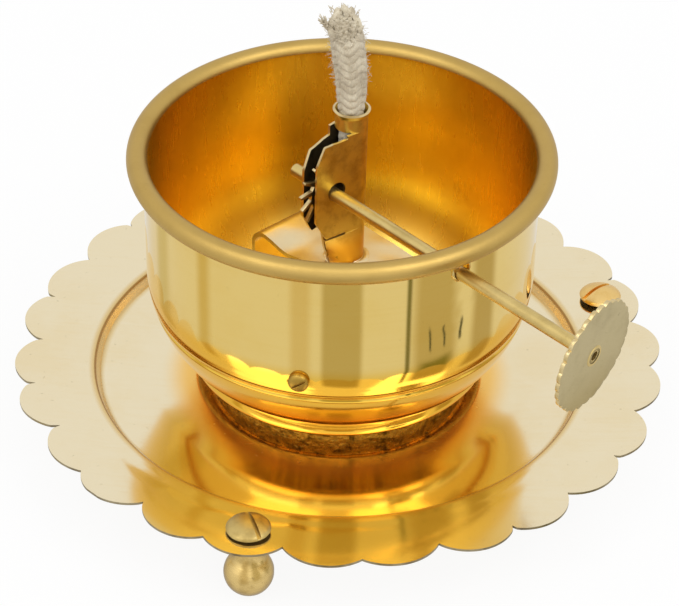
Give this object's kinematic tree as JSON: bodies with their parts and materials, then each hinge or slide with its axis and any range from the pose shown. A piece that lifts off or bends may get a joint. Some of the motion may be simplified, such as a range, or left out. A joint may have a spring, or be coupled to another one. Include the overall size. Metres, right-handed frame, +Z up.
{
  "type": "butter lamp",
  "caption": "Brass lamp: a spun bowl on a scalloped tray with ball feet, and a round wick in a holder that a key with a thumb disc winds up and down.",
  "frame": {"origin": "on the floor, under the middle of the bowl", "axes": "+Z up, -Y to the lamp's front, +X to the right seen from the front; the key points to the front right"},
  "size_m": [0.1247, 0.1251, 0.0904],
  "materials": {
    "tray_brass": "polished sheet with fine spinning rings",
    "bowl_brass": "mirror polished outside, warm satin inside",
    "cast_brass": "rough sand casting, unpolished",
    "turned_brass": "turned and lightly brushed",
    "screw_brass": "dull, tumbled",
    "bridge_brass": "bright sheet, a little wavy",
    "holder_brass": "satin sheet, browned by solder heat",
    "wheel_brass": "dark, with bright tooth edges",
    "key_brass": "drawn rod, polished",
    "disc_brass": "grey-gold satin, fine cross scratches",
    "wick_cotton": "braided undyed cotton"
  },
  "bodies": {
    "lamp_base": {"tray": "tray_brass", "bowl": "bowl_brass", "foot_ring": "cast_brass", "centre_stud": "turned_brass", "centre_washer": "turned_brass", "centre_nut": "turned_brass", "foot_front": "turned_brass", "foot_right": "turned_brass", "foot_back": "turned_brass", "foot_screw_front": "screw_brass", "foot_screw_right": "screw_brass", "foot_screw_back": "screw_brass", "bridge": "bridge_brass", "wick_holder": "holder_brass", "side_screw": "screw_brass", "side_nut": "screw_brass"},
    "key": {"key_shaft": "key_brass", "key_disc": "disc_brass", "wick_wheel": "wheel_brass"},
    "wick": {"wick": "wick_cotton"}
  },
  "joints": [
    {"name": "key_turn", "type": "hinge", "parent": "lamp_base", "child": "key", "pos_m": [-0.00358, -0.00334, 0.0553], "axis": [0.682, -0.7314, 0], "range_deg": [-68.7, 229.1]},
    {"name": "wick_lift", "type": "slide", "parent": "lamp_base", "child": "wick", "axis": [0, 0, 1], "range_m": [-0.006, 0.02]}
  ],
  "couplings": [
    {"joint": "wick_lift", "follows": "key_turn", "m_per_rad": 0.005}
  ]
}
